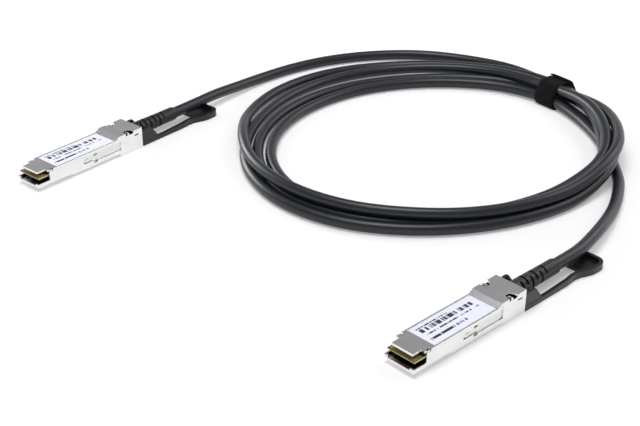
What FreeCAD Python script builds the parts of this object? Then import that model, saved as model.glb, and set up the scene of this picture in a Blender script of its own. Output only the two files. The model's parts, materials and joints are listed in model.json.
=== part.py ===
import FreeCAD, Part
import math
import os

V = FreeCAD.Vector

# A passive copper direct attach cable: two equal pluggable modules joined by one cable that is
# wound into a flat coil and tied. Millimetres. Each module is drawn in its own frame: X runs from
# the mating nose to the cable, Y across, Z up from the surface that its rear block rests on.

# Module: outline
PLUG_LEN = 78.4       # nose to rear face
BODY_W = 18.35        # the part that enters the cage
BODY_H = 8.5
BODY_Z = 2.4          # underside of that part above the rear block's underside
REAR_LEN = 16.9       # rear block
REAR_STEP = 0.175     # by which the rear block stands out on each side
REAR_TOP = 12.7
RAMP_LEN = 2.7        # slope from the cover's top up to the rear block
RAMP_BACK = 1.0       # from the slope's top to the rear block's front
RELIEF_X = 24.0       # from here to the rear block the underside is a little lower
RELIEF_DROP = 0.9
SEAM_DROP = 1.5       # thickness of the cover over the front body
REAR_WALL = 2.0

# Module: nose
TONGUE_WALL = 1.0     # front edge of the lower shell
TONGUE_FOOT = 2.5     # width of the raised corner at each end of that edge
RIM_H = 2.2           # side rim of the tongue
FLOOR_T = 1.1
WALL_X = 8.4          # full side walls start here
LIP_X = 1.7           # front of the cover's lip
LIP_IN = 2.675        # from the body's side to the lip's
LIP_T = 1.0
LIP_ROOT = 7.2        # the lip widens to the whole body here

# Module: inside
CARD_SIDE = 0.975     # from the body's side to the card's edge
CARD_T = 1.0
CARD_X = 1.1          # front edge, just behind the tongue's
CARD_NECK_X = 30.5    # behind this the card is narrower
CARD_NECK_FIT = 0.2   # on each side of the narrower card
CARD_FIT = 0.08
LEDGE_W = 0.7         # ledge under each edge of the card
BAY_WALL = 1.975      # side walls behind the neck
POT_LEN = 11.5        # potting in front of the rear block
PAD_PITCH = 0.8
PAD_EDGE = 0.7        # least distance from a contact to the card's edge
PAD_W = 0.5
PAD_LEN = 5.2
PAD_T = 0.05
CHIP = (4.9, 3.9, 1.0)
CHIP_GAP = 5.1        # from the chip to the pairs
PAIR_GAP = 0.7        # between the shielded pairs
PAIR_SIDE = 0.29
PAIR_H = 1.3
PAIR_COUNT = 4        # pairs on each side of the card
PAIR_LEN = 7.0
RIB_H = 0.8           # locating rib under the cover
RIB_T = 1.0
FIT = 0.06            # between shells that fit together

# Cable and strain relief
CABLE_D = 6.7
AXIS_Z = 7.4          # cable axis, level with the card
FERRULE_D = 8.4
FERRULE_LEN = 10.0
CRIMP_FLAT = 7.8      # across the flats where it is pressed
CRIMP_END = 1.8
CORE_W = 9.2          # room for ferrule and flange inside the rear block
NECK_D = 7.8          # strain relief where it passes the rear wall
FLANGE_T = 1.8
BOOT_LEN = 35.0       # rear face to cable exit
BOOT_D = 9.0
BOOT_END_D = 8.3
BOOT_COLLAR = 10.3    # plain length at the end
SLOT_COUNT = 6
SLOT_PITCH = 3.7
SLOT_W = 1.5
SLOT_D = 7.2          # diameter left under a slot
SLOT_WEB = 3.2        # width of the webs that bridge a slot

# Latch
STRIP_T = 0.5
STRIP_H = 4.8
STRIP_Z = 4.0
STRIP_X = 43.5        # front of the wide strip
STRIP_COVER = 0.6     # wall outside the strip in the rear block
NECK_H = 2.0
FINGER_X = 34.2
FINGER_LEN = 3.8
FINGER_OUT = 0.35     # how far the finger's tip stands out of the strip
WINDOW_X = 40.5
WINDOW_LEN = 3.0
RUN = 0.06            # running clearance
LUG_BACK = 2.1        # from the rear block's front to the lug
LUG_T = 0.6
LUG_DEEP = 2.49       # how far the lug reaches in from the strip
LUG_H = 2.8
SPRING_D = 2.5
SPRING_WIRE = 0.45
SPRING_TURNS = 6
SPRING_LEN = 9.6
SPRING_STEPS = 8      # flats round each turn
SPRING_SIDES = 4
TRAVEL = 2.6

# Pull tab
TAB_GAP = 0.25        # behind the rear face
TAB_Z = 0.2
TAB_OVER = 0.15       # by which the tab is wider than the rear block, on each side
TAB_LEN = 62.9        # its front to its rear edge
TAB_T = 2.0           # band
TAB_H = 3.6
ARM_H = 2.6           # arms beside the root
PADDLE_OVER = 2.8     # by which the paddle is wider than the band, on each side
PADDLE_LEN = 24.0
PADDLE_R = 6.0
FLARE_LEN = 16.0      # from the waist's start to the full width
FLARE_LEAD = 6.0
WAIST_IN = 0.45
PADDLE_SHY = 2.1      # by which its other side is drawn in, beside the cable
WEB_LEN = 15.6
WEB_T = 1.6
ROOT_TOP = 9.8
ROOT_LEN = 7.6        # at the top
ROOT_PLATE = 1.7      # thickness of the root's upright sides
ROOT_FLOOR = 4.4      # between them it is this high
ROOT_FOOT = 14.5      # at the bottom
ROOT_SEAT = 3.0       # how deep the latch strips sit in it
BOOT_GAP = 0.35

# Cover details
LABEL_X = 14.4
LABEL_GAP = 0.4       # from the label to the ramp
LABEL_SIDE = 1.075    # from the body's side to the label
LABEL_T = 0.1
LABEL_ROOM = 0.25     # round the label in its recess
LABEL_DEPTH = 0.25
POST_W = 1.3          # cast posts that hold the cover
POST_T = 0.75
POST_DOWN = 0.35      # their tops below the surface round them
POST_FRONT_X = 9.9
POST_BACK = 7.5       # from the rear block's front to its posts
POST_REAR_IN = 0.3    # from the rear block's side to those posts
POST_NOTCH = 1.3      # radius of the notch round a front post
POST_REAR_LEN = 2.6   # a rear post reaches this far in from the edge
PIN = (3.4, 5.5, 1.5, 0.5)  # pins on the mouth's floor: place, diameter and height
SLIT_BACK = 10.9      # from the rear block's front to the slit
SLIT_LEN = 3.2
SLIT_Z = 9.4
SLIT_H = 0.8
SLIT_DEEP = 1.2

# Where the far module lies, from the near one
FAR_X = -23.4
FAR_Y = 265.0
FAR_TURN = 5.6        # degrees about Z

# Worked out from the above
REAR_X = PLUG_LEN - REAR_LEN
REAR_W = BODY_W + 2 * REAR_STEP
CARD_W = BODY_W - 2 * CARD_SIDE
BAY_W = BODY_W - 2 * BAY_WALL
CARD_NECK_W = BAY_W - 2 * CARD_NECK_FIT
PAD_COUNT = int((CARD_W - PAD_W - 2 * PAD_EDGE) / PAD_PITCH + 0.001) + 1
POT_X = REAR_X - POT_LEN
RIB_ROOM = BAY_W - 2 * (FIT + RIB_T)
PAIR_W = (RIB_ROOM - 2 * PAIR_SIDE - (PAIR_COUNT - 1) * PAIR_GAP) / PAIR_COUNT
PAIR_X = POT_X - PAIR_LEN
CHIP_X = PAIR_X - CHIP_GAP - CHIP[0]
RAMP_X = REAR_X - RAMP_BACK - RAMP_LEN
TAB_W = REAR_W + 2 * TAB_OVER
PADDLE_W = TAB_W + 2 * PADDLE_OVER
TOP_Z = BODY_Z + BODY_H
SEAM_Z = TOP_Z - SEAM_DROP
FLOOR_Z = BODY_Z + FLOOR_T
CARD_Z = AXIS_Z - CARD_T / 2
REAR_FACE = PLUG_LEN
STRIP_OUT = REAR_W / 2 - STRIP_COVER - RUN
STRIP_IN = STRIP_OUT - STRIP_T
LUG_IN = STRIP_IN - LUG_DEEP
LUG_X = REAR_X + LUG_BACK
STRIP_MID = STRIP_Z + STRIP_H / 2
EXIT_X = PLUG_LEN + BOOT_LEN
TAB_X = PLUG_LEN + TAB_GAP
FAR_OVER = 5.0        # how far a cutting tool runs past what it cuts

# Cable route, near module to coil and coil to far module, in the near module's frame
CABLE_R = CABLE_D / 2
NEAR_ROUTE = (
    (EXIT_X, 0, AXIS_Z), (131.5, 0, AXIS_Z), (152.0, 5.4, 7.2), (172.0, 11.2, 4.0),
    (190.0, 17.9, CABLE_R), (207.5, 27.8, CABLE_R), (222.8, 41.5, CABLE_R),
)
FAR_ROUTE = (
    (17.0, 0, AXIS_Z), (38.0, 1.0, 7.3), (58.0, 2.7, 5.0), (80.0, 3.6, CABLE_R),
    (112.0, -1.4, CABLE_R), (142.0, -13.2, CABLE_R), (168.0, -32.0, CABLE_R),
    (188.5, -56.0, CABLE_R), (201.0, -87.0, CABLE_R),
)
# Coil: its centre, and for each angle the inner radius, outer radius, underside and top
COIL_AT = (180.0, 141.0)
STRAP_T = 1.2
TIE_AT = -5           # degrees round the coil
COIL = (
    (TIE_AT - 7, 97.8, 118.0, STRAP_T, 13.7), (TIE_AT + 7, 97.8, 118.0, STRAP_T, 13.7), (17, 95.6, 126.5, 0, 12.0),
    (30, 92.4, 134.5, 0, 10.4), (42, 88.6, 126.0, 0, 9.8), (62, 86.2, 125.5, 0, 8.6),
    (88, 85.8, 128.3, 0, 8.0), (112, 88.0, 124.5, 0, 9.6), (135, 93.0, 118.2, 0, 12.4),
    (158, 96.5, 118.6, 0, 12.5), (180, 98.5, 119.5, 0, 12.5), (203, 94.0, 114.2, 0, 12.5),
    (226, 86.6, 107.0, 0, 12.5), (250, 83.8, 104.3, 0, 12.5), (273, 84.8, 105.0, 0, 12.5),
    (293, 91.5, 110.0, 0, 19.0), (312, 94.6, 112.5, 0, 19.4), (331, 95.8, 116.0, 0, 17.4),
)
COIL_STEPS = 3        # sections from one of these angles to the next
COIL_ROUND = 2.6
TIE_W = 15.0
TIE_TAIL = 16.0       # loose end that lies back over the band
TIE_CLEAR = 0.3


def box(x0, x1, y0, y1, z0, z1):
    return Part.makeBox(x1 - x0, y1 - y0, z1 - z0, V(x0, y0, z0))


def slab(x0, x1, width, z0, z1):
    """A block centred on the module's mid plane."""
    return box(x0, x1, -width / 2, width / 2, z0, z1)


def rod(x0, x1, diameter, y=0.0, z=AXIS_Z):
    return Part.makeCylinder(diameter / 2, x1 - x0, V(x0, y, z), V(1, 0, 0))


def side_profile(points, width):
    """A closed XZ outline drawn across the whole width."""
    wire = Part.makePolygon([V(x, -width / 2, z) for x, z in points + points[:1]])
    return Part.Face(wire).extrude(V(0, width, 0))


def plan_profile(points, z0, z1):
    wire = Part.makePolygon([V(x, y, z0) for x, y in points + points[:1]])
    return Part.Face(wire).extrude(V(0, 0, z1 - z0))


def mirrored(shape):
    return shape.mirror(V(0, 0, 0), V(0, 1, 0))


def join(shapes):
    """Fuse shapes into one clean solid."""
    first, rest = shapes[0], shapes[1:]
    return (first.fuse(rest) if rest else first).removeSplitter()


def cut(shape, tools):
    return shape.cut(tools).removeSplitter()


def both(shape):
    return [shape, mirrored(shape)]


def slider_room():
    """Space that the latch strip and its spring take on the +Y side, for both shells."""
    lo, hi = STRIP_Z - RUN, STRIP_Z + STRIP_H + RUN
    passage = box(REAR_X - FAR_OVER, REAR_FACE + FAR_OVER, STRIP_IN - RUN, STRIP_OUT + RUN, lo, hi)
    passage = passage.common(box(REAR_X, REAR_FACE + FAR_OVER, 0, REAR_W, 0, REAR_TOP))
    pocket = box(LUG_X - RUN, LUG_X + LUG_T + SPRING_LEN, LUG_IN - 2 * RUN, STRIP_IN,
                 STRIP_MID - LUG_H / 2 - RUN, STRIP_MID + LUG_H / 2 + RUN)
    return [passage, pocket]


def front_recess():
    """Open recess in the +Y side of the front body: strip, window and finger."""
    lo, hi = STRIP_Z - RUN, STRIP_Z + STRIP_H + RUN
    deep = STRIP_IN - RUN
    wide = box(STRIP_X - RUN, REAR_X, deep, BODY_W, lo, hi)
    window = box(WINDOW_X, WINDOW_X + WINDOW_LEN, deep - 0.2, BODY_W, STRIP_Z - 0.8, SEAM_Z - 0.35)
    finger = box(FINGER_X - 0.8, WINDOW_X, deep, BODY_W,
                 STRIP_MID - NECK_H / 2 - 0.5, STRIP_MID + NECK_H / 2 + 0.5)
    return [wide, window, finger]


def post(x, half, top):
    """A cast post at the edge of the lower shell, and the notch that it needs in the cover."""
    outer = half - 0.15
    solid = box(x - POST_W / 2, x + POST_W / 2, outer - POST_T, outer, AXIS_Z - 1, top - POST_DOWN)
    notch = Part.makeCylinder(POST_NOTCH, FAR_OVER, V(x, half - 0.35, top - 1.2))
    slot = box(x - POST_W / 2 - FIT, x + POST_W / 2 + FIT, outer - POST_T - FIT, outer + FIT,
               AXIS_Z - 1, top + 1)
    return solid, [notch, slot]


def base_shell():
    low = BODY_Z - RELIEF_DROP
    front = side_profile([
        (0, BODY_Z), (RELIEF_X, BODY_Z), (RELIEF_X + RELIEF_DROP, low), (REAR_X, low),
        (REAR_X, SEAM_Z), (WALL_X, SEAM_Z), (WALL_X, BODY_Z + RIM_H), (0, BODY_Z + RIM_H),
    ], BODY_W)
    rear = side_profile([
        (REAR_X - low, low), (REAR_X, 0), (REAR_FACE, 0), (REAR_FACE, AXIS_Z), (REAR_X, AXIS_Z),
    ], REAR_W)
    shell = join([front, rear])
    top = SEAM_Z + FAR_OVER
    rooms = [
        slab(TONGUE_WALL, CARD_NECK_X, CARD_W + 2 * CARD_FIT, CARD_Z, top),
        slab(TONGUE_WALL, WALL_X, CARD_W + 2 * CARD_FIT, FLOOR_Z, top),
        slab(WALL_X - 1, CARD_NECK_X, CARD_W - 2 * LEDGE_W, FLOOR_Z, top),
        slab(-FAR_OVER, TONGUE_WALL + 1, BODY_W - 2 * TONGUE_FOOT, FLOOR_Z, top),
        slab(CARD_NECK_X - 1, REAR_X, BAY_W, FLOOR_Z, top),
        slab(REAR_X, REAR_FACE - REAR_WALL, CORE_W, AXIS_Z - CORE_W / 2, top),
        rod(REAR_FACE - REAR_WALL - 1, REAR_FACE + 1, NECK_D),
    ]
    for tool in slider_room() + front_recess():
        rooms += both(tool)
    shell = cut(shell, rooms)
    x, y, diameter, height = PIN
    pin = Part.makeCylinder(diameter / 2, height + 0.5, V(x, y, FLOOR_Z - 0.5))
    return join([shell] + both(pin) + both(post(POST_FRONT_X, BODY_W / 2, TOP_Z)[0]))


def cover_shell():
    front = side_profile([
        (LIP_X, TOP_Z - LIP_T), (LIP_X + 0.4, TOP_Z), (REAR_X, TOP_Z), (REAR_X, SEAM_Z),
        (WALL_X, SEAM_Z), (WALL_X, TOP_Z - LIP_T),
    ], BODY_W)
    rear = side_profile([
        (RAMP_X, TOP_Z), (RAMP_X + RAMP_LEN, REAR_TOP), (REAR_FACE, REAR_TOP), (REAR_FACE, AXIS_Z),
        (REAR_X, AXIS_Z), (REAR_X, TOP_Z),
    ], REAR_W)
    rib = slab(WALL_X + 2, REAR_X, BAY_W - 2 * FIT, SEAM_Z - RIB_H, SEAM_Z)
    rib = rib.cut(slab(WALL_X + 2 + RIB_T, REAR_X + 1, RIB_ROOM, 0, SEAM_Z))
    cover = join([front, rear, rib])
    tools = [
        slab(REAR_X, REAR_FACE - REAR_WALL, CORE_W, 0, AXIS_Z + CORE_W / 2),
        rod(REAR_FACE - REAR_WALL - 1, REAR_FACE + 1, NECK_D),
        slab(LABEL_X - LABEL_ROOM, RAMP_X - LABEL_GAP + LABEL_ROOM, BODY_W - 2 * (LABEL_SIDE - LABEL_ROOM),
             TOP_Z - LABEL_DEPTH, TOP_Z + 1),
    ]
    lip_side = BODY_W / 2 - LIP_IN
    lip_corner = plan_profile([
        (0, lip_side), (LIP_ROOT, lip_side), (LIP_ROOT, BODY_W / 2 - 0.5),
        (WALL_X, BODY_W / 2 - 0.5), (WALL_X, BODY_W), (0, BODY_W),
    ], 0, TOP_Z + 1)
    slit_x, post_x = REAR_X + SLIT_BACK, REAR_X + POST_BACK
    slit = box(slit_x, slit_x + SLIT_LEN, REAR_W / 2 - SLIT_DEEP, REAR_W,
               SLIT_Z - SLIT_H / 2, SLIT_Z + SLIT_H / 2)
    post_out = REAR_W / 2 - POST_REAR_IN
    rear_notch = plan_profile([
        (post_x - 3.2, REAR_W), (post_x - 3.2, post_out), (post_x - 2.4, post_out - POST_REAR_LEN - 0.9),
        (post_x + 0.6, post_out - POST_REAR_LEN - 0.9), (post_x + 2.6, post_out), (post_x + 2.6, REAR_W),
    ], REAR_TOP - 1.5, REAR_TOP + 1)
    rear_post = box(post_x - 1 - POST_W / 2, post_x - 1 + POST_W / 2, post_out - POST_REAR_LEN, post_out,
                    REAR_TOP - 2.4, REAR_TOP - POST_DOWN)
    for tool in [lip_corner, slit, rear_notch] + slider_room() + post(POST_FRONT_X, BODY_W / 2, TOP_Z)[1]:
        tools += both(tool)
    return join([cut(cover, tools)] + both(rear_post))


def paddle_card():
    wide = slab(CARD_X, CARD_NECK_X - 0.5, CARD_W, CARD_Z, CARD_Z + CARD_T)
    neck = slab(CARD_NECK_X - 0.5, POT_X, CARD_NECK_W, CARD_Z, CARD_Z + CARD_T)
    nose = [e for e in wide.Edges if abs(e.BoundBox.XMax - CARD_X) < 0.01 and e.BoundBox.YLength > 1]
    return join([wide.makeChamfer(0.3, nose), neck])


def contact_pads():
    pads = []
    for i in range(PAD_COUNT):
        y = (i - (PAD_COUNT - 1) / 2) * PAD_PITCH
        x = CARD_X + (0.6 if i % 3 else 1.0)
        for z in (CARD_Z - PAD_T, CARD_Z + CARD_T):
            pads.append(box(x, x + PAD_LEN, y - PAD_W / 2, y + PAD_W / 2, z, z + PAD_T))
    return Part.makeCompound(pads)


def memory_chip():
    length, width, height = CHIP
    body = slab(CHIP_X, CHIP_X + length, width, CARD_Z + CARD_T, CARD_Z + CARD_T + height)
    legs = [box(CHIP_X + 0.4 + i * 1.27, CHIP_X + 0.8 + i * 1.27, width / 2, width / 2 + 1.0,
                CARD_Z + CARD_T, CARD_Z + CARD_T + 0.3) for i in range(4)]
    return join([body] + [half for leg in legs for half in both(leg)])


def twinax_pairs():
    pairs = []
    for i in range(PAIR_COUNT):
        y = (i - (PAIR_COUNT - 1) / 2) * (PAIR_W + PAIR_GAP)
        for z in (CARD_Z - PAIR_H, CARD_Z + CARD_T):
            pair = box(PAIR_X, POT_X, y - PAIR_W / 2, y + PAIR_W / 2, z, z + PAIR_H)
            long = [e for e in pair.Edges if e.BoundBox.XLength > 1]
            pairs.append(pair.makeChamfer(PAIR_H * 0.3, long))
    return Part.makeCompound(pairs)


def potting_block():
    return slab(POT_X, REAR_X, RIB_ROOM - 0.2, FLOOR_Z, SEAM_Z - 0.1)


def crimp_ferrule():
    """Tube behind the strain relief's flange, pressed to a hexagon along its middle."""
    x = REAR_FACE - REAR_WALL - FLANGE_T - FERRULE_LEN
    tube = rod(x, x + FERRULE_LEN, FERRULE_D)
    corner = CRIMP_FLAT / math.sqrt(3)
    turns = [math.pi * k / 3 for k in range(7)]
    rim = [V(x + CRIMP_END, corner * math.cos(t), AXIS_Z + corner * math.sin(t)) for t in turns]
    hexagon = Part.Face(Part.makePolygon(rim)).extrude(V(FERRULE_LEN - 2 * CRIMP_END, 0, 0))
    pressed = rod(x + CRIMP_END, x + FERRULE_LEN - CRIMP_END, FERRULE_D + 1).cut(hexagon)
    return cut(tube, [rod(x - 1, x + FERRULE_LEN + 1, CABLE_D), pressed])


def cable_root():
    """The cable inside the module and its strain relief, up to where it comes free."""
    return rod(REAR_X, EXIT_X, CABLE_D)


def strain_relief():
    r0, r1, rn = BOOT_D / 2, BOOT_END_D / 2, NECK_D / 2
    xf = REAR_FACE - REAR_WALL
    rf = CORE_W / 2 - FIT
    outline = [
        (xf - FLANGE_T, CABLE_R), (xf - FLANGE_T, rf), (xf, rf), (xf, rn), (REAR_FACE, rn),
        (REAR_FACE, r0), (EXIT_X - BOOT_COLLAR, r1), (EXIT_X - 1.2, r1), (EXIT_X, r1 - 0.7),
        (EXIT_X, CABLE_R),
    ]
    wire = Part.makePolygon([V(x, 0, AXIS_Z + r) for x, r in outline + outline[:1]])
    boot = Part.Face(wire).revolve(V(0, 0, AXIS_Z), V(1, 0, 0), 360)
    first = EXIT_X - BOOT_COLLAR - 1.2 - (SLOT_COUNT - 1) * SLOT_PITCH
    slots = []
    for i in range(SLOT_COUNT):
        x = first + i * SLOT_PITCH
        ring = rod(x - SLOT_W / 2, x + SLOT_W / 2, BOOT_D + 1).cut(rod(x - 1, x + 1, SLOT_D))
        half = BOOT_D
        web = box(x - 1, x + 1, -SLOT_WEB / 2, SLOT_WEB / 2, AXIS_Z - half, AXIS_Z + half)
        if i % 2:
            web.rotate(V(0, 0, AXIS_Z), V(1, 0, 0), 90)
        slots += ring.cut(web).Solids
    return cut(boot, slots)


def latch_arm():
    """Stamped strip on the +Y side: finger, neck, strip, spring lug and the end in the tab."""
    lo, hi = STRIP_Z, STRIP_Z + STRIP_H
    strip = box(STRIP_X, TAB_X + ROOT_SEAT, STRIP_IN, STRIP_OUT, lo, hi)
    neck_lo, neck_hi = STRIP_MID - NECK_H / 2, STRIP_MID + NECK_H / 2
    neck = box(FINGER_X + FINGER_LEN - 0.5, STRIP_X, STRIP_IN, STRIP_OUT, neck_lo, neck_hi)
    tip = FINGER_X + 1.2
    finger = plan_profile([
        (FINGER_X, STRIP_IN), (FINGER_X, STRIP_IN + 0.3), (tip, STRIP_OUT + FINGER_OUT),
        (tip + 0.8, STRIP_OUT + FINGER_OUT), (FINGER_X + FINGER_LEN, STRIP_OUT),
        (FINGER_X + FINGER_LEN, STRIP_IN), (tip + 0.8, STRIP_OUT + FINGER_OUT - STRIP_T),
        (tip, STRIP_OUT + FINGER_OUT - STRIP_T),
    ], neck_lo, neck_hi)
    lug = box(LUG_X, LUG_X + LUG_T, LUG_IN, STRIP_IN + 0.1, STRIP_MID - LUG_H / 2, STRIP_MID + LUG_H / 2)
    return join([strip, neck, finger, lug])


def latch_spring():
    """Compression spring behind the lug on the +Y side."""
    ring_r = (SPRING_D - SPRING_WIRE) / 2
    pitch = (SPRING_LEN - SPRING_WIRE) / SPRING_TURNS
    middle = V(LUG_X + LUG_T + SPRING_WIRE / 2, LUG_IN + SPRING_D / 2, STRIP_MID)
    sections = []
    for i in range(SPRING_TURNS * SPRING_STEPS + 1):
        a = 2 * math.pi * i / SPRING_STEPS
        out = V(0, math.cos(a), math.sin(a))
        at = middle + V(pitch * i / SPRING_STEPS, 0, 0) + out * ring_r
        rim = []
        for k in range(SPRING_SIDES):
            b = 2 * math.pi * (k + 0.5) / SPRING_SIDES
            rim.append(at + (out * math.cos(b) + V(1, 0, 0) * math.sin(b)) * (SPRING_WIRE / 2))
        sections.append(Part.makePolygon(rim + rim[:1]))
    return Part.makeLoft(sections, True, True)


def tab_outline(inset):
    """Plan outline of the pull tab's band, drawn in by inset. One side flares out to the paddle."""
    half, wide, shy = TAB_W / 2 - inset, PADDLE_W / 2 - inset, TAB_W / 2 - PADDLE_SHY - inset
    end = TAB_X + TAB_LEN - inset
    start = TAB_X + inset
    paddle = TAB_X + TAB_LEN - PADDLE_LEN
    r = PADDLE_R - inset
    lead, full = paddle - FLARE_LEAD, paddle + FLARE_LEN
    flare = [
        (lead, half), (paddle - 1, half - WAIST_IN), (paddle + FLARE_LEN * 0.25, half - 0.2),
        (paddle + FLARE_LEN * 0.625, (half + wide) / 2 + 0.5), (full, wide),
    ]
    draw = [(lead, half), ((lead + paddle) / 2, (half + shy) / 2 + 0.15), (paddle + 1, shy)]
    edges = []
    for sign, bend, reach in ((-1, flare, wide), (1, draw, shy)):
        curve = Part.BSplineCurve()
        curve.interpolate([V(x, sign * y, 0) for x, y in bend], InitialTangent=V(1, 0, 0),
                          FinalTangent=V(1, 0, 0))
        a, b, turn = end - r, reach - r, r * math.sin(math.pi / 4)
        corner = Part.Arc(V(a, sign * reach, 0), V(a + turn, sign * (b + turn), 0), V(end, sign * b, 0))
        edges += [
            Part.LineSegment(V(start, sign * half, 0), V(lead, sign * half, 0)).toShape(), curve.toShape(),
            Part.LineSegment(V(bend[-1][0], sign * reach, 0), V(a, sign * reach, 0)).toShape(),
            corner.toShape(),
        ]
    edges.append(Part.LineSegment(V(end, r - wide, 0), V(end, shy - r, 0)).toShape())
    edges.append(Part.LineSegment(V(start, half, 0), V(start, -half, 0)).toShape())
    return Part.Face(Part.Wire(Part.__sortEdges__(edges)))


def pull_tab():
    outer = tab_outline(0)
    inner = tab_outline(TAB_T)
    band = outer.extrude(V(0, 0, TAB_H)).cut(inner.extrude(V(0, 0, TAB_H)))
    web_x = TAB_X + TAB_LEN - WEB_LEN
    web = inner.extrude(V(0, 0, WEB_T)).common(slab(web_x, web_x + WEB_LEN, PADDLE_W, 0, WEB_T))
    band = band.fuse(web)
    band.translate(V(0, 0, TAB_Z))
    arm_end = TAB_X + TAB_LEN - PADDLE_LEN - 2
    low = side_profile([
        (TAB_X - 1, TAB_Z + ARM_H), (TAB_X + ROOT_FOOT + 4, TAB_Z + ARM_H), (arm_end, TAB_Z + TAB_H),
        (arm_end, TAB_Z + TAB_H + 1), (TAB_X - 1, TAB_Z + TAB_H + 1),
    ], TAB_W + 2)
    root = side_profile([
        (TAB_X, TAB_Z), (TAB_X + ROOT_FOOT, TAB_Z), (TAB_X + ROOT_FOOT - 1.6, TAB_Z + ARM_H),
        (TAB_X + ROOT_LEN, ROOT_TOP), (TAB_X, ROOT_TOP),
    ], TAB_W - 0.4)
    tab = join([band.cut(low), root])
    tools = [rod(TAB_X - 1, TAB_X + ROOT_FOOT + 8, BOOT_D + 2 * BOOT_GAP),
             slab(TAB_X + ROOT_PLATE, TAB_X + ROOT_FOOT + 1, TAB_W - 0.4 - 2 * ROOT_PLATE, ROOT_FLOOR,
                  ROOT_TOP + 1),
             slab(TAB_X - 1, TAB_X + ROOT_FOOT + 1, BOOT_D + 2 * BOOT_GAP, AXIS_Z, ROOT_TOP + 1)]
    tools += both(latch_arm())
    return cut(tab, tools)


def label():
    low = TOP_Z - LABEL_DEPTH
    return slab(LABEL_X, RAMP_X - LABEL_GAP, BODY_W - 2 * LABEL_SIDE, low, low + LABEL_T)


def place_far(shape):
    moved = shape.copy()
    moved.rotate(V(0, 0, 0), V(0, 0, 1), FAR_TURN)
    moved.translate(V(FAR_X, FAR_Y, 0))
    return moved


def far_point(x, y, z):
    """A point given from the far module's cable exit, along that module's axes at no turn."""
    a = math.radians(FAR_TURN)
    ex, ey = FAR_X + EXIT_X * math.cos(a), FAR_Y + EXIT_X * math.sin(a)
    return V(ex + x * math.cos(a) - y * math.sin(a), ey + x * math.sin(a) + y * math.cos(a), z)


def cable_tube(name, points):
    """A tube along straight runs joined by tangent arcs, each as large as its runs allow."""
    edges, at, radii = [], points[0], []
    for before, here, after in zip(points, points[1:], points[2:]):
        a, b = here - before, after - here
        turn = a.getAngle(b)
        shorter = min(a.Length, b.Length)
        back = 0.45 * shorter
        radii.append(back / math.tan(turn / 2))
        a.normalize()
        b.normalize()
        p, q = here - a * back, here + b * back
        bend = (b - a)
        bend.normalize()
        centre = here + bend * (back / math.sin(turn / 2))
        middle = centre - bend * radii[-1]
        edges += [Part.LineSegment(at, p).toShape(), Part.Arc(p, middle, q).toShape()]
        at = q
    edges.append(Part.LineSegment(at, points[-1]).toShape())
    wire = Part.Wire(edges)
    ring = Part.Wire(Part.makeCircle(CABLE_R, points[0], points[1] - points[0]))
    tube = wire.makePipeShell([ring], True, False)
    section = math.pi * CABLE_R ** 2
    print(name, "length %.1f" % wire.Length, "radii", " ".join("%.0f" % r for r in radii),
          "volume ratio %.4f" % (tube.Volume / (section * wire.Length)))
    return tube


def coil_section(angle, r_in, r_out, z0, z1):
    """Corners of the bundle's outline in the upright plane at one angle round the coil."""
    a, r = math.radians(angle), COIL_ROUND
    z0 = max(z0, 0)
    outline = [(r_in, z0 + r), (r_in + r, z0), (r_out - r, z0), (r_out, z0 + r),
               (r_out, z1 - r), (r_out - r, z1), (r_in + r, z1), (r_in, z1 - r)]
    return [V(COIL_AT[0] + radius * math.cos(a), COIL_AT[1] + radius * math.sin(a), z)
            for radius, z in outline]


def between(before, a, b, after, t):
    """The value a share t of the way from a to b on a smooth curve through all four."""
    return 0.5 * (2 * a + (b - before) * t + (2 * before - 5 * a + 4 * b - after) * t ** 2
                  + (3 * a - before - 3 * b + after) * t ** 3)


def cable_coil():
    """The bundle as one closed body with flat facets."""
    count = len(COIL)
    sections = []
    for i in range(count):
        near = [list(COIL[(i + k) % count]) for k in (-1, 0, 1, 2)]
        for k, station in enumerate(near):
            station[0] += 360 * ((i + k - 1) // count)
        for step in range(COIL_STEPS):
            shape = [between(*values, step / COIL_STEPS) for values in zip(*near)]
            sections.append(coil_section(*shape))
    facets = []
    for this, following in zip(sections, sections[1:] + sections[:1]):
        for a, b, c, d in zip(this, following, following[1:] + following[:1], this[1:] + this[:1]):
            facets += [(a, b, c), (a, c, d)]
    shell = Part.makeShell([Part.Face(Part.makePolygon([a, b, c, a])) for a, b, c in facets])
    return Part.makeSolid(shell)


def cable_tie():
    """Hook-and-loop strap round the bundle, with its loose end lying back on top."""
    r_in, r_out, z0, z1 = COIL[0][1:]
    cx, cy = COIL_AT
    x0, x1 = cx + r_in - TIE_CLEAR, cx + r_out + TIE_CLEAR
    y0, y1 = cy - TIE_W / 2, cy + TIE_W / 2
    top = z1 + TIE_CLEAR
    outer = box(x0 - STRAP_T, x1 + STRAP_T, y0, y1, z0 - STRAP_T, top + STRAP_T)
    long = [e for e in outer.Edges if e.BoundBox.YLength > 1]
    outer = outer.makeFillet(COIL_ROUND + STRAP_T * 0.6, long)
    inner = box(x0, x1, y0 - 1, y1 + 1, z0, top)
    inner = inner.makeFillet(COIL_ROUND, [e for e in inner.Edges if e.BoundBox.YLength > 1])
    flap = box(x1 - TIE_TAIL, x1 - COIL_ROUND, y0 + 0.5, y1 - 0.5, top + STRAP_T, top + 1.9 * STRAP_T)
    tie = join([outer.cut(inner), flap])
    tie.rotate(V(cx, cy, 0), V(0, 0, 1), TIE_AT)
    return tie


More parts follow.
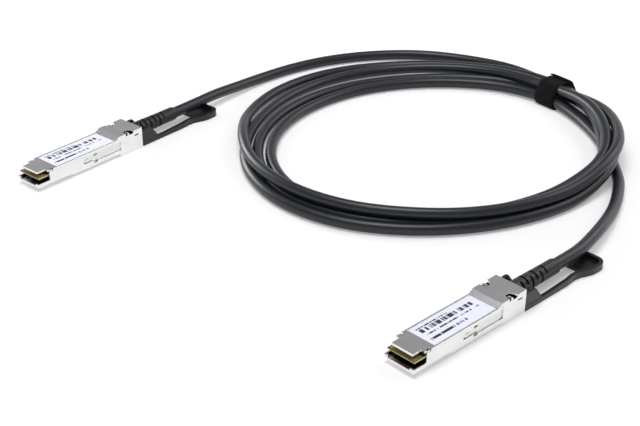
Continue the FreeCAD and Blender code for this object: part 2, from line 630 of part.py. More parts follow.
def main():
    plug = {
        "base_shell": base_shell(), "cover_shell": cover_shell(), "paddle_card": paddle_card(),
        "contact_pads": contact_pads(), "memory_chip": memory_chip(), "twinax_pairs": twinax_pairs(),
        "potting_block": potting_block(), "crimp_ferrule": crimp_ferrule(), "cable_root": cable_root(),
        "strain_relief": strain_relief(), "latch_left": latch_arm(), "latch_right": mirrored(latch_arm()),
        "spring_left": latch_spring(), "spring_right": mirrored(latch_spring()),
        "pull_tab": pull_tab(), "label": label(),
    }
    nodes = {"near_" + name: shape for name, shape in plug.items()}
    nodes.update({"far_" + name: place_far(shape) for name, shape in plug.items()})

    # The origin is the middle of the two modules' footprint, on the surface that they lie on
    bounds = FreeCAD.BoundBox()
    for shape in nodes.values():
        bounds.add(shape.BoundBox)
    origin = V(bounds.Center.x, bounds.Center.y, 0)

    nodes["cable_near_tail"] = cable_tube("near tail", [V(*p) for p in NEAR_ROUTE])
    far = [far_point(0, 0, AXIS_Z)] + [far_point(*p) for p in FAR_ROUTE]
    nodes["cable_far_tail"] = cable_tube("far tail", far)
    nodes["cable_coil"] = cable_coil()
    nodes["cable_tie"] = cable_tie()

    os.makedirs("parts", exist_ok=True)
    print("origin in the near module's frame: %.4f %.4f" % (origin.x, origin.y))
    for name, shape in nodes.items():
        shape.translate(origin * -1)
        if not shape.isValid() or not shape.Solids:
            print("not valid:", name)
        shape.exportStep("parts/%s.step" % name)


main()
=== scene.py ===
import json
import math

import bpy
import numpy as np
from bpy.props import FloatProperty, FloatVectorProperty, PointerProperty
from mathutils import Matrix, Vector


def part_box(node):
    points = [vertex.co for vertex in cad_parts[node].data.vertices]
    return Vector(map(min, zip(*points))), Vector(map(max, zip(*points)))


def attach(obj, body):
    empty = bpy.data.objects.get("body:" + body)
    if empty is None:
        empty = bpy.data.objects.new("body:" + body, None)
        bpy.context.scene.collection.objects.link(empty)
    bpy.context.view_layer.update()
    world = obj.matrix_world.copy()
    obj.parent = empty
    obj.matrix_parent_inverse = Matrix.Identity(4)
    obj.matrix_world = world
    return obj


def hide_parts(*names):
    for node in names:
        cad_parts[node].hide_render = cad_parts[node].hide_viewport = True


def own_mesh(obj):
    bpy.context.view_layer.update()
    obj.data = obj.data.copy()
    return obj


bl_info = {
    "name": "Direct attach copper cable",
    "version": (1, 0, 0),
    "blender": (4, 5, 0),
    "location": "View3D > Sidebar > Cable",
    "description": "Dresses a coiled copper cable with a pluggable module at each end",
    "category": "Object",
}

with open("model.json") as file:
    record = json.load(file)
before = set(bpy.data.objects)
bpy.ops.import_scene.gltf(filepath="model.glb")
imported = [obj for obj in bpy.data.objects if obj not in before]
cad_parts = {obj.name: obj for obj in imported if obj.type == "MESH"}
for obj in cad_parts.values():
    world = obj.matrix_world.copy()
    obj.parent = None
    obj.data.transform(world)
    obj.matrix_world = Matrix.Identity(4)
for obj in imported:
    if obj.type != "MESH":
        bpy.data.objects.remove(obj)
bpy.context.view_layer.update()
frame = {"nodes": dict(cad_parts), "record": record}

ROOT_BODY = "cable_assembly"
SIDES = ("near", "far")

# Photograph in pixels, sensor in millimetres, and the camera's distance and aim in metres
PHOTO_WIDTH = 640
FOCAL_PIXELS = 1283
SENSOR = 36
CAMERA_TURN = math.radians(-43.69)
CAMERA_RISE = math.radians(28.9)
CAMERA_FAR = 0.70125
CAMERA_AIM = (0.0166, -0.0072, 0)
CLIP_START = 0.01

# Stage in metres. A lamp has a name, a place, a width and a power in watts, and points at the origin.
FLOOR_REACH = 4.0
LAMPS = (
    ("overhead", (-0.10, 0.05, 1.47), 0.8, 12),
    ("window", (0.03, 1.2, 0.36), 0.5, 6),
    ("right", (1.0, -0.25, 0.75), 0.8, 3.8),
)
PAPER_GLOW = 0.25           # light that the paper adds for the camera and in reflections
PAPER_END = (0.17, 0.34)    # Z of a direction where the paper's far end starts to fade, and where it is gone

# All sizes below are millimetres, and MM turns them into metres. A module's own frame runs from its
# nose along X to its cable, with Y across and Z up from the table.
MM = 0.001

CABLE_DIAMETER = 6.7
CABLE_EXIT = 113.4                # from the nose to the rear end of the boot
CABLE_HEIGHT = 7.4                # of the cable's middle where it leaves the boot
FLOOR = CABLE_DIAMETER / 2        # height of the middle of a cable that lies on the floor

# The cable's line outside the coil as listed points, the near one from its module's nose and the
# far one from its module's cable exit
NEAR_ROUTE = (
    (CABLE_EXIT, 0, CABLE_HEIGHT), (124, 0, CABLE_HEIGHT), (136, 0.7, CABLE_HEIGHT),
    (148.5, 3.4, CABLE_HEIGHT), (160.5, 6.7, 6.9), (173, 11.2, 5.2), (185, 16, 3.6), (197, 21.5, FLOOR),
    (209.5, 28.6, FLOOR), (223, 37.6, FLOOR),
)
FAR_ROUTE = (
    (0, 0, CABLE_HEIGHT), (17, 0, CABLE_HEIGHT), (38, 1, 7.3), (58, 2.7, 5), (80, 3.6, FLOOR),
    (112, -1.4, FLOOR), (142, -13.2, FLOOR), (168, -32, FLOOR), (188.5, -56, FLOOR), (201, -87, FLOOR),
)

# Coil: its centre from the near module's nose, degrees from one point of a turn to the next, and the
# first point's angle, where the near length has passed under the bundle and turned into it
COIL_AT = (180, 141)
TURN_STEP = 20
TURN_START = -45
# Radius and height of the cable's line at each step of a turn, first turn first: the radii as the
# photograph shows them, the heights as the cables underneath give them. Every turn climbs over the near
# length at its start, runs under the strap just before 0 degrees and then fans out.
TURNS = (
    ((101.0, FLOOR), (99.2, 3.46), (101.2, 4.55), (99.5, 3.84), (93.3, 3.6), (90.0, 3.52), (89.3, FLOOR),
     (89.8, FLOOR), (92.6, FLOOR), (96.2, FLOOR), (99.7, FLOOR), (102.2, FLOOR), (99.2, FLOOR),
     (93.2, FLOOR), (88.9, FLOOR), (87.9, FLOOR), (91.5, 4.9), (101.0, 11.4)),
    ((101.3, 14.9), (102.2, 15.8), (104.5, 10.35), (109.0, 8.96), (111.0, 6.62), (112.9, 4.65),
     (113.9, 3.56), (112.0, FLOOR), (110.3, FLOOR), (111.8, FLOOR), (114.5, FLOOR), (115.9, FLOOR),
     (112.7, FLOOR), (106.6, FLOOR), (102.3, FLOOR), (101.3, FLOOR), (102.7, FLOOR), (106.6, 10.8)),
    ((104.2, 9.8), (105.6, 5.3), (107.9, 4.55), (107.8, 3.84), (101.2, 3.41), (96.8, FLOOR), (97.5, FLOOR),
     (99.4, FLOOR), (101.5, FLOOR), (104.4, FLOOR), (107.1, FLOOR), (109.0, FLOOR), (105.9, FLOOR),
     (99.9, FLOOR), (95.6, FLOOR), (94.6, FLOOR), (97.2, FLOOR), (100.8, 4.2)),
    ((99.6, 8.8), (104.8, 10.35), (111.2, 10.35), (115.9, 7.84), (118.4, 5.12), (120.8, 3.64),
     (123.8, FLOOR), (123.6, FLOOR), (119.2, 4.1), (113.6, 9.4), (111.8, 9.47), (108.9, 9.93),
     (104.5, 9.55), (99.6, 9.55), (98.1, 9.3), (97.9, 9.2), (100.4, 9.2), (107.6, 17.4)),
    ((108.2, 15.6), (112.2, 10.95), (114.6, 4.55), (126.5, 5.04)),
)

STRAP_STATION = 2     # step of each turn where the turns lie tight together under the strap
STRAP_FROM = -35      # degrees round the bundle, on its outer side, where the wrap starts
STRAP_OVERLAP = 120   # degrees by which the strap's end lies over its start
STRAP_STEPS = 150     # rings of points along the strap
STRAP_ACROSS = 9      # points across each of its faces
STRAP_GAP = 0.08      # between the strap and the cables
STRAP_RISE = 1.15     # layers by which it climbs in a turn, so that its second round lies on the first
STRAP_TOP = 1.3       # layers that its end lies above its start
STRAP_LOOSE = 1.05    # height of a layer as a share of the strap's thickness
STRAP_THIN = 0.35     # share of the thickness that is missing at the edges
STRAP_SQUARE = 6      # power that keeps the thinning close to the edges
STRAP_SKEW = 1.2      # how far an edge runs askew
STRAP_LOWEST = 0.1    # height at which the strap is pressed flat on the floor

SPRING_WIRE = 0.45
SPRING_TURNS = 6
SPRING_STEPS = 20     # rings of points in each turn
SPRING_ROUND = 8      # points in each ring
SPRING_START = -14.15   # degrees by which the first ring's points are turned from the way out

# Cavities of a module's shell where a dark grey is painted on the plating as shade: start and end from the
# nose, nearest and furthest from the middle, bottom and top. They are the mouth, the notches round the rear
# posts, and the side slits.
MOUTH_EDGE = 0.9
MOUTH_SHADE_FULL = 2.6      # from the nose, where the painted shade in the mouth is full
SHADED_CAVITIES = (
    (MOUTH_EDGE, 16, -1, 8.32, 3.2, 9.95),
    (65.9, 71.5, 5.5, 9.0, 11.0, 12.25),
    (72.3, 75.7, 8.0, 9.2, 8.95, 9.85),
)
SLOT_SHADE_RADII = (3.75, 3.95)    # from the cable's middle: where the painted shade on the slots' floor ends, and where the webs begin

# Print on the label: start and end from the nose, low and high edge across, bar pitch, share inked
PRINT_ROWS = (
    (17.0, 39.5, 5.2, 6.1, 0.42, 0.62),
    (17.5, 53.0, 1.8, 4.6, 0.46, 0.64),
    (17.5, 54.0, -0.8, 0.2, 0.42, 0.62),
    (16.5, 41.5, -4.9, -3.3, 0.60, 0.70),
)
ROW_SEED = 31         # makes the bars of one row differ from those of the next

# Metals that both modules share: piece, finish, colour and roughness
METALS = (
    ("crimp_ferrule", "plated_brass", "c9c2a8", 0.35),    # drawn and pressed: warm and half dull
    ("twinax_pairs", "foil_wrap", "c8cacd", 0.4),         # wrapped foil: cool silver, softly creased
)
# Skins that they share: piece, finish, colour, roughness, the grain's width and depth, edge rounding
SKINS = (
    ("contact_pads", "gold_plating", "b98f45", 0.35, 0.2, 0.01, 0),    # electroplated: deep satin yellow
    ("memory_chip", "moulded_epoxy", "1c1c1e", 0.5, 0.1, 0.01, 0),     # charcoal and dull
    ("potting_block", "hot_melt", "d8d5c6", 0.5, 0.8, 0.05, 0),        # cast: cream and uneven
    ("pull_tab", "moulded_tab", "101112", 0.32, 0.3, 0.02, 0.3),       # moulded rubber: black, softly bright
)
JACKET = (0.36, 0.35, 0.015, 0)    # the jacket's roughness, its grain's width and depth, and no rounding

# Sockets of a Mix node that mixes colours
FIRST, SECOND, MIXED = 6, 7, 2


def linear(code):
    """An sRGB hex colour as the linear colour that Blender works with."""
    parts = [int(code[i:i + 2], 16) / 255 for i in (0, 2, 4)]
    return tuple(c / 12.92 if c <= 0.04045 else ((c + 0.055) / 1.055) ** 2.4 for c in parts) + (1.0,)


def colour(name, code, note):
    """A colour property with an sRGB hex default."""
    return FloatVectorProperty(name=name, description=note, subtype="COLOR", size=4, min=0, max=1,
                               default=linear(code))


def length(name, size, note):
    """A length property with its default in millimetres."""
    return FloatProperty(name=name, description=note, default=size * MM, min=0, unit="LENGTH", precision=5)


class StageSettings(bpy.types.PropertyGroup):
    """Floor and light"""
    floor: colour("Floor", "e4e4e4", "Colour of the paper")
    sky: colour("Room", "98989c", "Colour of the room over the paper")
    horizon: colour("Horizon", "ffffff", "Colour of the paper's far end, which stands up behind the table")


class CableSettings(bpy.types.PropertyGroup):
    """The cable and its strap"""
    diameter: length("Diameter", CABLE_DIAMETER, "Outer diameter of the cable")
    real_length: length("Length", 3200, "Real length of the cable from one module to the other")
    strap_width: length("Strap width", 15, "Width of the strap round the coil")
    strap_thickness: length("Strap thickness", 1.2, "Thickness of one layer of the strap")
    jacket: colour("Jacket", "161a20", "Colour of the cable's jacket")


# Places

def entry(entries, name):
    """The entry of this name in a list of the record."""
    return next(one for one in entries if one["name"] == name)


def module_frame(side):
    """Nose point and turn about Z of a module, from the record's mount at its nose."""
    mount = entry(frame["record"]["mounts"], side + "_port_plug")
    nose = Vector((mount["pos_m"][0], mount["pos_m"][1], 0))
    return nose, math.atan2(-mount["axis"][1], -mount["axis"][0])


def from_nose(side, points):
    """Points of a module's own frame in the model's frame, all in metres: turned about Z, then moved
    to the nose."""
    nose, turn = module_frame(side)
    points = np.array(points, float)
    c, s = math.cos(turn), math.sin(turn)
    turned = points.copy()
    turned[:, 0] = points[:, 0] * c - points[:, 1] * s
    turned[:, 1] = points[:, 0] * s + points[:, 1] * c
    return turned + np.array(nose)


def near_points():
    """The cable's line from the near module's boot to the coil."""
    return from_nose("near", np.array(NEAR_ROUTE) * MM)


def far_points():
    """The cable's line from the far module's boot to the coil."""
    return from_nose("far", (np.array(FAR_ROUTE) + (CABLE_EXIT, 0, 0)) * MM)


def coil_centre():
    """The coil's centre on the floor."""
    return from_nose("near", np.array([(*COIL_AT, 0)]) * MM)[0]


def coil_points():
    """Points of the turns. A curve of this kind runs inside its points by the cosine of half a step,
    so each radius is divided by that cosine."""
    centre = coil_centre()
    radius, height = np.array([point for turn in TURNS for point in turn]).T * MM
    angle = np.radians(TURN_START + TURN_STEP * np.arange(len(radius)))
    reach = radius / math.cos(math.radians(TURN_STEP / 2))
    return np.stack([centre[0] + reach * np.cos(angle), centre[1] + reach * np.sin(angle), height], axis=1)


# Meshes

def mesh_piece(name, vertices, faces, material, smooth=True):
    """A piece in the scene from arrays of points and of each face's corners."""
    mesh = bpy.data.meshes.new(name)
    mesh.from_pydata(vertices.tolist(), [], faces.tolist())
    mesh.polygons.foreach_set("use_smooth", np.full(len(mesh.polygons), smooth))
    mesh.materials.append(material)
    mesh.update()
    piece = bpy.data.objects.new(name, mesh)
    bpy.context.scene.collection.objects.link(piece)
    return piece


def closed_tube(rings, around):
    """Faces of a section carried along a path: quads between rings of points, each ring closed on
    itself, and quads over both ends, which join two points of a ring to the two across from them."""
    ring, point = np.meshgrid(np.arange(rings - 1), np.arange(around), indexing="ij")
    here, beside = ring * around + point, ring * around + (point + 1) % around
    sides = np.stack([c.ravel() for c in (here, here + around, beside + around, beside)], axis=1)
    k = np.arange(around // 2 - 1)
    cap = np.stack([k, k + 1, around - 2 - k, around - 1 - k], axis=1)
    return np.vstack([sides, cap, cap[:, ::-1] + (rings - 1) * around])


def spring_rings(low, high):
    """Rings of points round a helix that goes round evenly along X and fills the box between two
    corners. A ring's axes are square to the mean of the two straight pieces of wire that meet there.
    The rings roll evenly along the wire, each by twice the arctangent of the slope's sine times the
    tangent of half a step, so that the wire itself isn't twisted."""
    wire = SPRING_WIRE * MM
    middle = (low + high) / 2
    radius = (high[1] - low[1] - wire) / 2
    turn = np.linspace(0, 2 * np.pi * SPRING_TURNS, SPRING_STEPS * SPRING_TURNS + 1)
    along = np.linspace(low[0] + wire / 2, high[0] - wire / 2, len(turn))
    flat = np.zeros(len(turn))
    out = np.stack([flat, np.cos(turn), np.sin(turn)], axis=1)
    line = np.stack([along, flat, flat], axis=1) + radius * out + (0, middle[1], middle[2])
    piece = np.diff(line, axis=0)
    heading = np.concatenate([piece[:1], piece]) + np.concatenate([piece, piece[-1:]])
    heading /= np.linalg.norm(heading, axis=1)[:, None]
    beside = np.cross(out, heading)
    beside /= np.linalg.norm(beside, axis=1)[:, None]
    outward = np.cross(heading, beside)
    roll = 2 * np.arctan(heading[1, 0] * np.tan(turn[1] / 2)) * np.arange(len(turn))
    around = np.radians(SPRING_START + np.linspace(0, 360, SPRING_ROUND, endpoint=False))
    angle = (around[None, :] + roll[:, None])[:, :, None]
    return line[:, None] + wire / 2 * (np.cos(angle) * outward[:, None] + np.sin(angle) * beside[:, None])


def wrapped_strap(settings):
    """A tape wound round the cables under it. Its line is the outline of a tight band: in each
    direction the cable that reaches furthest, plus a distance that grows with the layers under it."""
    lanes = np.array([turn[STRAP_STATION] for turn in TURNS]) * MM
    turn = np.radians(np.linspace(STRAP_FROM, STRAP_FROM + 360 + STRAP_OVERLAP, STRAP_STEPS))
    out = np.stack([np.cos(turn), np.sin(turn)], axis=1)
    furthest = np.argmax(out @ lanes.T, axis=1)
    wound = (turn - turn[0]) / (2 * np.pi)
    layer = np.clip(wound * STRAP_RISE - (STRAP_RISE - 1), 0, STRAP_TOP)
    thick = settings.strap_thickness
    inner = settings.diameter / 2 + STRAP_GAP * MM + layer * (thick * STRAP_LOOSE)
    width = np.linspace(-0.5, 0.5, STRAP_ACROSS)
    edge = 1 - (np.abs(width) * 2) ** STRAP_SQUARE * STRAP_THIN
    along = width[None, :] * settings.strap_width + STRAP_SKEW * MM * np.sin(turn)[:, None]
    centre = coil_centre()
    at = math.radians(TURN_START + TURN_STEP * STRAP_STATION)
    skins = []
    for face in (-0.5, 0.5):
        reach = inner[:, None] + (thick * 0.5 + face * thick * edge)[None, :]
        radius = lanes[furthest, 0][:, None] + out[:, 0][:, None] * reach
        height = lanes[furthest, 1][:, None] + out[:, 1][:, None] * reach
        skins.append(np.stack([
            centre[0] + radius * math.cos(at) - along * math.sin(at),
            centre[1] + radius * math.sin(at) + along * math.cos(at),
            np.maximum(height, STRAP_LOWEST * MM)], axis=2))
    # Round the section: the inner face one way, the outer face back
    rings = np.concatenate([skins[0], skins[1][:, ::-1]], axis=1)
    faces = closed_tube(*rings.shape[:2])
    return mesh_piece("hook_and_loop_strap", rings.reshape(-1, 3), faces, hook_and_loop())


# Materials

def add_node(tree, kind, inputs=None, **settings):
    """Adds a shader node, sets its settings, and fills or links its inputs, named or numbered."""
    made = tree.nodes.new("ShaderNode" + kind)
    for name, value in settings.items():
        setattr(made, name, value)
    for socket, value in (inputs or {}).items():
        if isinstance(value, bpy.types.NodeSocket):
            tree.links.new(value, made.inputs[socket])
        else:
            made.inputs[socket].default_value = value
    return made


def new_material(name):
    """An empty material and its node tree."""
    made = bpy.data.materials.new(name)
    made.use_nodes = True
    made.node_tree.nodes.clear()
    return made, made.node_tree


def every(size):
    """Scale of a pattern whose grains, waves or lines are this many millimetres apart."""
    return 1 / (size * MM)


def module_place(tree, side):
    """X, Y and Z sockets that count millimetres from a module's nose, along, across and up."""
    nose, turn = module_frame(side)
    place = add_node(tree, "TexCoord").outputs["Object"]
    local = add_node(tree, "Mapping", {
        "Vector": place, "Location": nose, "Rotation": (0, 0, turn), "Scale": (MM, MM, MM)},
        vector_type="TEXTURE")
    return add_node(tree, "SeparateXYZ", {"Vector": local.outputs[0]}).outputs


def within(tree, *ranges):
    """1 where every value lies between its two limits, else 0: all the comparisons multiplied."""
    inside = 1.0
    for value, low, high in ranges:
        for limit, test in ((low, "GREATER_THAN"), (high, "LESS_THAN")):
            passed = add_node(tree, "Math", {0: value, 1: limit}, operation=test).outputs[0]
            inside = add_node(tree, "Math", {0: inside, 1: passed}, operation="MULTIPLY").outputs[0]
    return inside


def painted_cavity_shade(tree, axes):
    """1 where shade is painted: inside the shell's cavities, growing from 0 behind the mouth's edge."""
    across = add_node(tree, "Math", {0: axes["Y"]}, operation="ABSOLUTE").outputs[0]
    inside = 0.0
    for start, end, inner, outer, bottom, top in SHADED_CAVITIES:
        box = within(tree, (axes["X"], start, end), (across, inner, outer), (axes["Z"], bottom, top))
        inside = add_node(tree, "Math", {0: inside, 1: box}, operation="MAXIMUM").outputs[0]
    deep = add_node(tree, "MapRange", {"Value": axes["X"], "From Min": MOUTH_EDGE, "From Max": MOUTH_SHADE_FULL})
    return add_node(tree, "Math", {0: inside, 1: deep.outputs["Result"]}, operation="MULTIPLY").outputs[0]


def nickel_plating(side):
    """Die-cast zinc with satin nickel over it: bright outside, with the casting's fine unevenness.
    Inside the mouth, the notches round the rear posts and the side slits a dark grey is painted as shade."""
    made, tree = new_material(side + "_satin_nickel_plating")
    place = add_node(tree, "TexCoord").outputs["Object"]
    # The casting's grain, drawn coarser than it is so that it shows, and a thin cast wall's slow waves
    grain = add_node(tree, "TexNoise", {"Vector": place, "Scale": every(0.25), "Detail": 2})
    waves = add_node(tree, "TexNoise", {"Vector": place, "Scale": every(8.33), "Detail": 1})
    rough = add_node(tree, "MapRange", {"Value": waves.outputs["Fac"], "To Min": 0.20, "To Max": 0.23})
    tint = add_node(tree, "Mix", {
        "Factor": waves.outputs["Fac"], FIRST: linear("e9e9e7"), SECOND: linear("f2f2f0")}, data_type="RGBA")
    # Painted shade: the cavities turn dark grey in place of the shade that falls inside them
    inside = painted_cavity_shade(tree, module_place(tree, side))
    tint = add_node(tree, "Mix", {
        "Factor": inside, FIRST: tint.outputs[MIXED], SECOND: linear("26272a")}, data_type="RGBA")
    edge = add_node(tree, "Bevel", {"Radius": 0.18 * MM}, samples=6)
    bump = add_node(tree, "Bump", {
        "Height": grain.outputs["Fac"], "Strength": 0.06, "Distance": 0.02 * MM,
        "Normal": edge.outputs["Normal"]})
    skin = add_node(tree, "BsdfPrincipled", {
        "Base Color": tint.outputs[MIXED], "Roughness": rough.outputs["Result"], "Metallic": 1.0,
        "Normal": bump.outputs["Normal"]})
    add_node(tree, "OutputMaterial", {"Surface": skin.outputs[0]})
    return made


def stamped_steel():
    """Stainless strip, rolled and stamped: brighter than the casting, with a lengthwise grain."""
    made, tree = new_material("stamped_stainless_strip")
    place = add_node(tree, "TexCoord").outputs["Object"]
    # Grain lines about 7 mm long, drawn a third of a millimetre apart because the real ones don't show
    stretch = add_node(tree, "Mapping", {
        "Vector": place, "Scale": (every(6.67), every(1 / 3), every(1 / 3))})
    grain = add_node(tree, "TexNoise", {"Vector": stretch.outputs[0], "Scale": 1, "Detail": 3})
    rough = add_node(tree, "MapRange", {"Value": grain.outputs["Fac"], "To Min": 0.2, "To Max": 0.34})
    skin = add_node(tree, "BsdfPrincipled", {
        "Base Color": linear("e4e3e0"), "Roughness": rough.outputs["Result"], "Metallic": 1.0})
    add_node(tree, "OutputMaterial", {"Surface": skin.outputs[0]})
    return made


def plain_metal(name, code, roughness):
    """A small metal piece with slightly uneven gloss."""
    made, tree = new_material(name)
    place = add_node(tree, "TexCoord").outputs["Object"]
    cloud = add_node(tree, "TexNoise", {"Vector": place, "Scale": every(1.11), "Detail": 2})
    rough = add_node(tree, "MapRange", {
        "Value": cloud.outputs["Fac"], "To Min": roughness * 0.8, "To Max": roughness * 1.25})
    skin = add_node(tree, "BsdfPrincipled", {
        "Base Color": linear(code), "Roughness": rough.outputs["Result"], "Metallic": 1.0})
    add_node(tree, "OutputMaterial", {"Surface": skin.outputs[0]})
    return made


def grained_skin(name, base, roughness, grain, depth, rounding):
    """A moulded, cured or deposited skin: one colour, a little cloud in it, and a fine grain of this
    width and depth. Where the real grain is too fine to show it is drawn as wide as it needs to be.
    The edges are rounded in the shading, unless rounding is 0."""
    made, tree = new_material(name)
    place = add_node(tree, "TexCoord").outputs["Object"]
    cloud = add_node(tree, "TexNoise", {"Vector": place, "Scale": every(6.67), "Detail": 2})
    pits = add_node(tree, "TexNoise", {"Vector": place, "Scale": every(grain), "Detail": 2})
    lighter = tuple(min(1, c * 1.18) for c in base[:3]) + (1,)
    tint = add_node(tree, "Mix", {
        "Factor": cloud.outputs["Fac"], FIRST: base, SECOND: lighter}, data_type="RGBA")
    rough = add_node(tree, "MapRange", {
        "Value": cloud.outputs["Fac"], "To Min": roughness * 0.88, "To Max": roughness * 1.12})
    bump = add_node(tree, "Bump", {"Height": pits.outputs["Fac"], "Strength": 0.3, "Distance": depth * MM})
    if rounding:
        edge = add_node(tree, "Bevel", {"Radius": rounding * MM}, samples=6)
        tree.links.new(edge.outputs["Normal"], bump.inputs["Normal"])
    skin = add_node(tree, "BsdfPrincipled", {
        "Base Color": tint.outputs[MIXED], "Roughness": rough.outputs["Result"],
        "Normal": bump.outputs["Normal"]})
    add_node(tree, "OutputMaterial", {"Surface": skin.outputs[0]})
    return made


def extruded_jacket(name, shade):
    """Extruded jacket: satin blue-black, with a faint unevenness about a third of a millimetre wide."""
    return grained_skin(name, tuple(shade), *JACKET)


def slotted_boot(side):
    """Moulded thermoplastic elastomer, satin black, with painted shade: the slots' floor between the webs is
    drawn darker.
    """
    made, tree = new_material(side + "_moulded_boot")
    place = add_node(tree, "TexCoord").outputs["Object"]
    # The mould's spark-eroded pits, drawn coarser than they are so that they show
    pits = add_node(tree, "TexNoise", {"Vector": place, "Scale": every(0.303), "Detail": 2})
    axes = module_place(tree, side)
    # Distance from the cable's middle: the square root of Y squared plus height squared
    up = add_node(tree, "Math", {0: axes["Z"], 1: CABLE_HEIGHT}, operation="SUBTRACT").outputs[0]
    offset = add_node(tree, "CombineXYZ", {"X": axes["Y"], "Y": up}).outputs[0]
    away = add_node(tree, "VectorMath", {0: offset}, operation="LENGTH").outputs["Value"]
    web = add_node(tree, "MapRange", {"Value": away, "From Min": SLOT_SHADE_RADII[0], "From Max": SLOT_SHADE_RADII[1]})
    # Painted shade: the slots' floor, nearer the cable's middle than the webs, is a darker black
    tint = add_node(tree, "Mix", {
        "Factor": web.outputs["Result"], FIRST: linear("050506"), SECOND: linear("16181b")},
        data_type="RGBA")
    edge = add_node(tree, "Bevel", {"Radius": 0.2 * MM}, samples=6)
    bump = add_node(tree, "Bump", {
        "Height": pits.outputs["Fac"], "Strength": 0.3, "Distance": 0.03 * MM,
        "Normal": edge.outputs["Normal"]})
    skin = add_node(tree, "BsdfPrincipled", {
        "Base Color": tint.outputs[MIXED], "Roughness": 0.4, "Normal": bump.outputs["Normal"]})
    add_node(tree, "OutputMaterial", {"Surface": skin.outputs[0]})
    return made


def circuit_laminate():
    """Glass-fibre laminate: dull green solder mask on its faces, pale raw glass at its routed edges."""
    made, tree = new_material("circuit_laminate")
    normal = add_node(tree, "NewGeometry").outputs["Normal"]
    axes = add_node(tree, "SeparateXYZ", {"Vector": normal}).outputs
    # The card's two faces are where the normal is nearly upright
    upright = add_node(tree, "Math", {0: axes["Z"]}, operation="ABSOLUTE").outputs[0]
    face = add_node(tree, "Math", {0: upright, 1: 0.7}, operation="GREATER_THAN").outputs[0]
    tint = add_node(tree, "Mix", {
        "Factor": face, FIRST: linear("cdbb80"), SECOND: linear("535d47")}, data_type="RGBA")
    skin = add_node(tree, "BsdfPrincipled", {"Base Color": tint.outputs[MIXED], "Roughness": 0.42})
    add_node(tree, "OutputMaterial", {"Surface": skin.outputs[0]})
    return made


def printed_film(side):
    """White polyester film with generic print: one band of tall bars and three rules of dashes. Along
    a row each cell of one pitch draws a random number, and it is inked where that is below the share."""
    made, tree = new_material(side + "_printed_film")
    axes = module_place(tree, side)
    ink = 0.0
    for start, end, low, high, pitch, share in PRINT_ROWS:
        cell = add_node(tree, "Math", {0: axes["X"], 1: pitch}, operation="DIVIDE").outputs[0]
        cell = add_node(tree, "Math", {0: cell}, operation="FLOOR").outputs[0]
        cell = add_node(tree, "Math", {0: cell, 1: low * ROW_SEED}, operation="ADD").outputs[0]
        draw = add_node(tree, "TexWhiteNoise", {"W": cell}, noise_dimensions="1D").outputs["Value"]
        bar = add_node(tree, "Math", {0: draw, 1: share}, operation="LESS_THAN").outputs[0]
        row = within(tree, (axes["X"], start, end), (axes["Y"], low, high))
        bar = add_node(tree, "Math", {0: bar, 1: row}, operation="MULTIPLY").outputs[0]
        ink = add_node(tree, "Math", {0: ink, 1: bar}, operation="MAXIMUM").outputs[0]
    tint = add_node(tree, "Mix", {
        "Factor": ink, FIRST: linear("eceefb"), SECOND: linear("2a2b31")}, data_type="RGBA")
    skin = add_node(tree, "BsdfPrincipled", {"Base Color": tint.outputs[MIXED], "Roughness": 0.42})
    add_node(tree, "OutputMaterial", {"Surface": skin.outputs[0]})
    return made


def hook_and_loop():
    """Woven nylon tape with a loop pile: black and dull, with loops about 0.4 mm apart in tufts."""
    made, tree = new_material("hook_and_loop_tape")
    place = add_node(tree, "TexCoord").outputs["Object"]
    pile = add_node(tree, "TexVoronoi", {"Vector": place, "Scale": every(0.385)})
    tuft = add_node(tree, "TexNoise", {"Vector": place, "Scale": every(1.43), "Detail": 4})
    tint = add_node(tree, "Mix", {
        "Factor": tuft.outputs["Fac"], FIRST: linear("040405"), SECOND: linear("0c0d0f")}, data_type="RGBA")
    bump = add_node(tree, "Bump", {
        "Height": pile.outputs["Distance"], "Strength": 0.8, "Distance": 0.3 * MM})
    bump = add_node(tree, "Bump", {
        "Height": tuft.outputs["Fac"], "Strength": 0.5, "Distance": 0.6 * MM,
        "Normal": bump.outputs["Normal"]})
    skin = add_node(tree, "BsdfPrincipled", {
        "Base Color": tint.outputs[MIXED], "Roughness": 0.9, "Specular IOR Level": 0.2,
        "Normal": bump.outputs["Normal"]})
    add_node(tree, "OutputMaterial", {"Surface": skin.outputs[0]})
    return made


def matte_floor(shade):
    """Seamless white paper: plain to the camera and in reflections, and it takes shadows."""
    made, tree = new_material("white_paper")
    paper = add_node(tree, "BsdfDiffuse", {"Color": shade})
    rays = add_node(tree, "LightPath").outputs
    seen = rays["Is Camera Ray"]
    for ray in ("Is Glossy Ray", "Is Transmission Ray"):
        seen = add_node(tree, "Math", {0: seen, 1: rays[ray]}, operation="MAXIMUM").outputs[0]
    lift = add_node(tree, "Math", {0: seen, 1: PAPER_GLOW}, operation="MULTIPLY")
    glow = add_node(tree, "Emission", {"Color": linear("ffffff"), "Strength": lift.outputs[0]})
    both = add_node(tree, "AddShader", {0: paper.outputs[0], 1: glow.outputs[0]})
    add_node(tree, "OutputMaterial", {"Surface": both.outputs[0]})
    return made


def white_room(settings):
    """The world: a white band, the paper's far end, which fades into the room's colour over it."""
    world = bpy.data.worlds.new("studio")
    world.use_nodes = True
    tree = world.node_tree
    direction = add_node(tree, "TexCoord").outputs["Generated"]
    up = add_node(tree, "SeparateXYZ", {"Vector": direction}).outputs["Z"]
    wall = add_node(tree, "MapRange", {"Value": up, "From Min": PAPER_END[0], "From Max": PAPER_END[1]})
    room = add_node(tree, "Mix", {
        "Factor": wall.outputs["Result"], FIRST: settings.horizon, SECOND: settings.sky}, data_type="RGBA")
    tree.links.new(room.outputs[MIXED], tree.nodes["Background"].inputs["Color"])
    return world


# Operators

class CABLE_OT_strap(bpy.types.Operator):
    """Wrap the hook and loop strap round the bundle"""
    bl_idname = "cable.wrap_strap"
    bl_label = "Strap"

    def execute(self, context):
        settings = context.scene.cable_settings
        strap = wrapped_strap(settings)
        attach(strap, ROOT_BODY)
        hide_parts("cable_tie")
        return {"FINISHED"}


